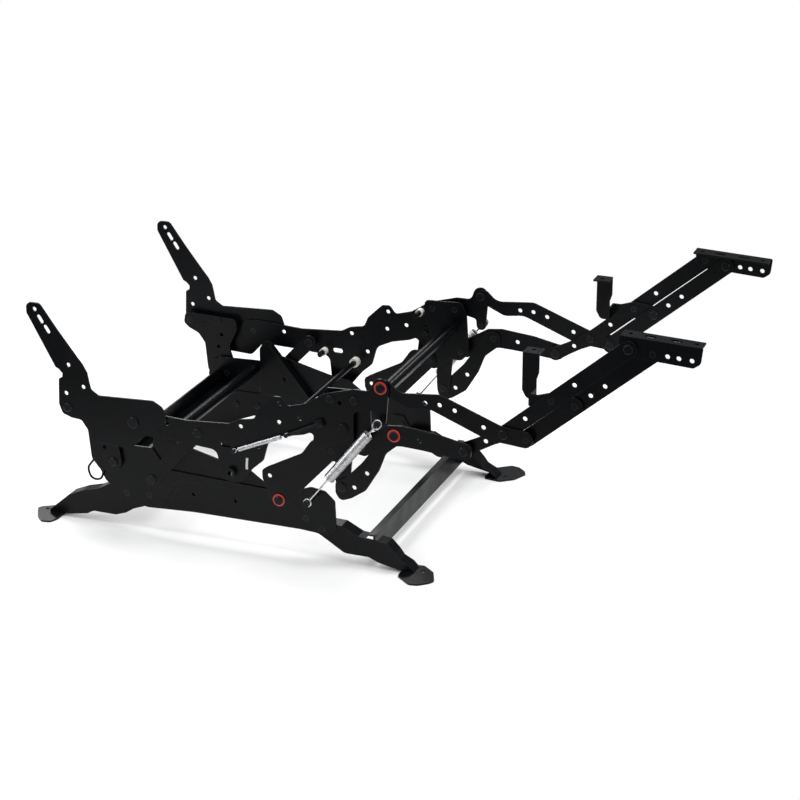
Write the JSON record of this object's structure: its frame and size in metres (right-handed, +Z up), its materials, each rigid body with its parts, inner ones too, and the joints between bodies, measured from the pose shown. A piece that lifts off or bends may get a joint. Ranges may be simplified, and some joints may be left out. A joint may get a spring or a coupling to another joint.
{
  "type": "recliner mechanism",
  "caption": "Reclining chair mechanism of flat steel side linkages joined by cross bars, with folding footrest arms, a leaning back arm and a seat carried on swing links.",
  "frame": {"origin": "midway between the four floor bolt holes, on the floor plane", "axes": "+X forward to the footrest, +Y to the sitter's left, +Z up"},
  "size_m": [1.2017, 0.5462, 0.478],
  "materials": {
    "black_coat": "satin black powder coat",
    "rivet_steel": "black coated rivet heads with worn rims",
    "zinc_wire": "bright zinc plate",
    "red_plastic": "moulded nylon",
    "white_plastic": "natural nylon"
  },
  "bodies": {
    "base": {"base_rail_left": "black_coat", "base_rail_right": "black_coat", "front_foot_left": "black_coat", "front_foot_right": "black_coat", "rear_foot_left": "black_coat", "rear_foot_right": "black_coat", "front_cross_bar": "black_coat", "rear_cross_angle": "black_coat", "rear_cross_tube": "black_coat", "base_pivot_pins": "rivet_steel", "red_base_washers": "red_plastic", "rear_wire_loop": "black_coat"},
    "front_swing": {"front_swing_link_left": "black_coat", "front_swing_link_right": "black_coat"},
    "rear_swing": {"rear_swing_link_left": "black_coat", "rear_swing_link_right": "black_coat"},
    "seat": {"seat_rail_left": "black_coat", "seat_rail_right": "black_coat", "seat_pivot_plate_left": "black_coat", "seat_pivot_plate_right": "black_coat", "seat_pivot_pins": "rivet_steel", "red_seat_washers": "red_plastic", "white_rod_bushings": "white_plastic", "mid_cross_rod": "black_coat", "front_cross_rod": "black_coat", "handle_spring": "zinc_wire"},
    "back": {"back_arm_left": "black_coat", "back_arm_right": "black_coat", "back_arm_rivets": "rivet_steel"},
    "lift": {"rear_lift_plate_left": "black_coat", "rear_lift_plate_right": "black_coat", "lift_plate_pins": "rivet_steel"},
    "springs": {"assist_spring_left": "zinc_wire", "assist_spring_right": "zinc_wire"},
    "torque": {"torque_tube": "black_coat", "drive_crank_left": "black_coat", "drive_crank_right": "black_coat", "crank_pins": "rivet_steel"},
    "drive": {"drive_link_left": "black_coat", "drive_link_right": "black_coat", "drive_link_pins": "rivet_steel"},
    "hub": {"handle_hub": "black_coat"},
    "hub_rod": {"hub_link": "black_coat"},
    "rear_link": {"rear_footrest_link_left": "black_coat", "rear_footrest_link_right": "black_coat", "rear_link_pins": "rivet_steel", "red_link_washers": "red_plastic"},
    "front_link": {"front_footrest_link_left": "black_coat", "front_footrest_link_right": "black_coat", "front_link_pins": "rivet_steel"},
    "upper_link": {"upper_footrest_link_left": "black_coat", "upper_footrest_link_right": "black_coat", "upper_link_pins": "rivet_steel"},
    "lower_link": {"lower_footrest_link_left": "black_coat", "lower_footrest_link_right": "black_coat", "lower_link_pins": "rivet_steel"},
    "board_brackets": {"footrest_bracket_left": "black_coat", "footrest_bracket_right": "black_coat"},
    "mid_brackets": {"mid_footrest_bracket_left": "black_coat", "mid_footrest_bracket_right": "black_coat"}
  },
  "joints": [
    {"name": "seat_swing", "type": "hinge", "parent": "base", "child": "front_swing", "pos_m": [0.103, 0, 0.101], "axis": [0, 1, 0], "range_deg": [0, 15]},
    {"name": "footrest_fold", "type": "hinge", "parent": "seat", "child": "front_link", "pos_m": [0.295, 0, 0.337], "axis": [0, 1, 0], "range_deg": [0, 72]},
    {"name": "seat_level", "type": "hinge", "parent": "front_swing", "child": "seat", "pos_m": [0.201, 0, 0.207], "axis": [0, 1, 0], "range_deg": [-15.05, 0]},
    {"name": "rear_swing_turn", "type": "hinge", "parent": "base", "child": "rear_swing", "pos_m": [-0.138, 0, 0.102], "axis": [0, 1, 0], "range_deg": [0, 15.05]},
    {"name": "back_recline", "type": "hinge", "parent": "seat", "child": "back", "pos_m": [-0.16, 0, 0.211], "axis": [0, 1, 0], "range_deg": [0, 23.63]},
    {"name": "lift_plate_turn", "type": "hinge", "parent": "base", "child": "lift", "pos_m": [-0.21, 0, 0.125], "axis": [0, 1, 0], "range_deg": [0, 20.64]},
    {"name": "spring_turn", "type": "hinge", "parent": "base", "child": "springs", "pos_m": [0.168, 0, 0.118], "axis": [0, 1, 0], "range_deg": [0, 10.56]},
    {"name": "rear_link_fold", "type": "hinge", "parent": "seat", "child": "rear_link", "pos_m": [0.26, 0, 0.228], "axis": [0, 1, 0], "range_deg": [0, 86.86]},
    {"name": "upper_link_fold", "type": "hinge", "parent": "front_link", "child": "upper_link", "pos_m": [0.506, 0, 0.285], "axis": [0, 1, 0], "range_deg": [-116.32, 0]},
    {"name": "lower_link_fold", "type": "hinge", "parent": "front_link", "child": "lower_link", "pos_m": [0.544, 0, 0.28], "axis": [0, 1, 0], "range_deg": [-116.32, 0]},
    {"name": "board_bracket_turn", "type": "hinge", "parent": "upper_link", "child": "board_brackets", "pos_m": [0.708, 0, 0.457], "axis": [0, 1, 0], "range_deg": [0, 116.32]},
    {"name": "mid_bracket_turn", "type": "hinge", "parent": "upper_link", "child": "mid_brackets", "pos_m": [0.584, 0, 0.352], "axis": [0, 1, 0], "range_deg": [0, 116.32]},
    {"name": "torque_turn", "type": "hinge", "parent": "seat", "child": "torque", "pos_m": [0.228, 0, 0.256], "axis": [0, 1, 0], "range_deg": [0, 45.66]},
    {"name": "drive_link_turn", "type": "hinge", "parent": "rear_link", "child": "drive", "pos_m": [0.32, 0, 0.258], "axis": [0, 1, 0], "range_deg": [-32.52, 0]},
    {"name": "handle_turn", "type": "hinge", "parent": "seat", "child": "hub", "pos_m": [0.022, 0, 0.146], "axis": [0, 1, 0], "range_deg": [0, 19.54]},
    {"name": "hub_link_turn", "type": "hinge", "parent": "torque", "child": "hub_rod", "pos_m": [0.188, 0, 0.253], "axis": [0, 1, 0], "range_deg": [-55.57, 0]}
  ],
  "couplings": [
    {"joint": "seat_level", "follows": "seat_swing", "ratio": -1},
    {"joint": "rear_swing_turn", "follows": "seat_swing", "ratio": 1},
    {"joint": "back_recline", "follows": "seat_swing", "ratio": 1.572},
    {"joint": "lift_plate_turn", "follows": "seat_swing", "ratio": 1.3727},
    {"joint": "spring_turn", "follows": "seat_swing", "ratio": 0.70067},
    {"joint": "rear_link_fold", "follows": "footrest_fold", "ratio": 1.2057},
    {"joint": "upper_link_fold", "follows": "footrest_fold", "ratio": -1.6149},
    {"joint": "lower_link_fold", "follows": "footrest_fold", "ratio": -1.6149},
    {"joint": "board_bracket_turn", "follows": "footrest_fold", "ratio": 1.6149},
    {"joint": "mid_bracket_turn", "follows": "footrest_fold", "ratio": 1.6149},
    {"joint": "torque_turn", "follows": "footrest_fold", "ratio": 0.63347},
    {"joint": "drive_link_turn", "follows": "footrest_fold", "ratio": -0.45097},
    {"joint": "handle_turn", "follows": "footrest_fold", "ratio": 0.27069},
    {"joint": "hub_link_turn", "follows": "footrest_fold", "ratio": -0.77111}
  ]
}
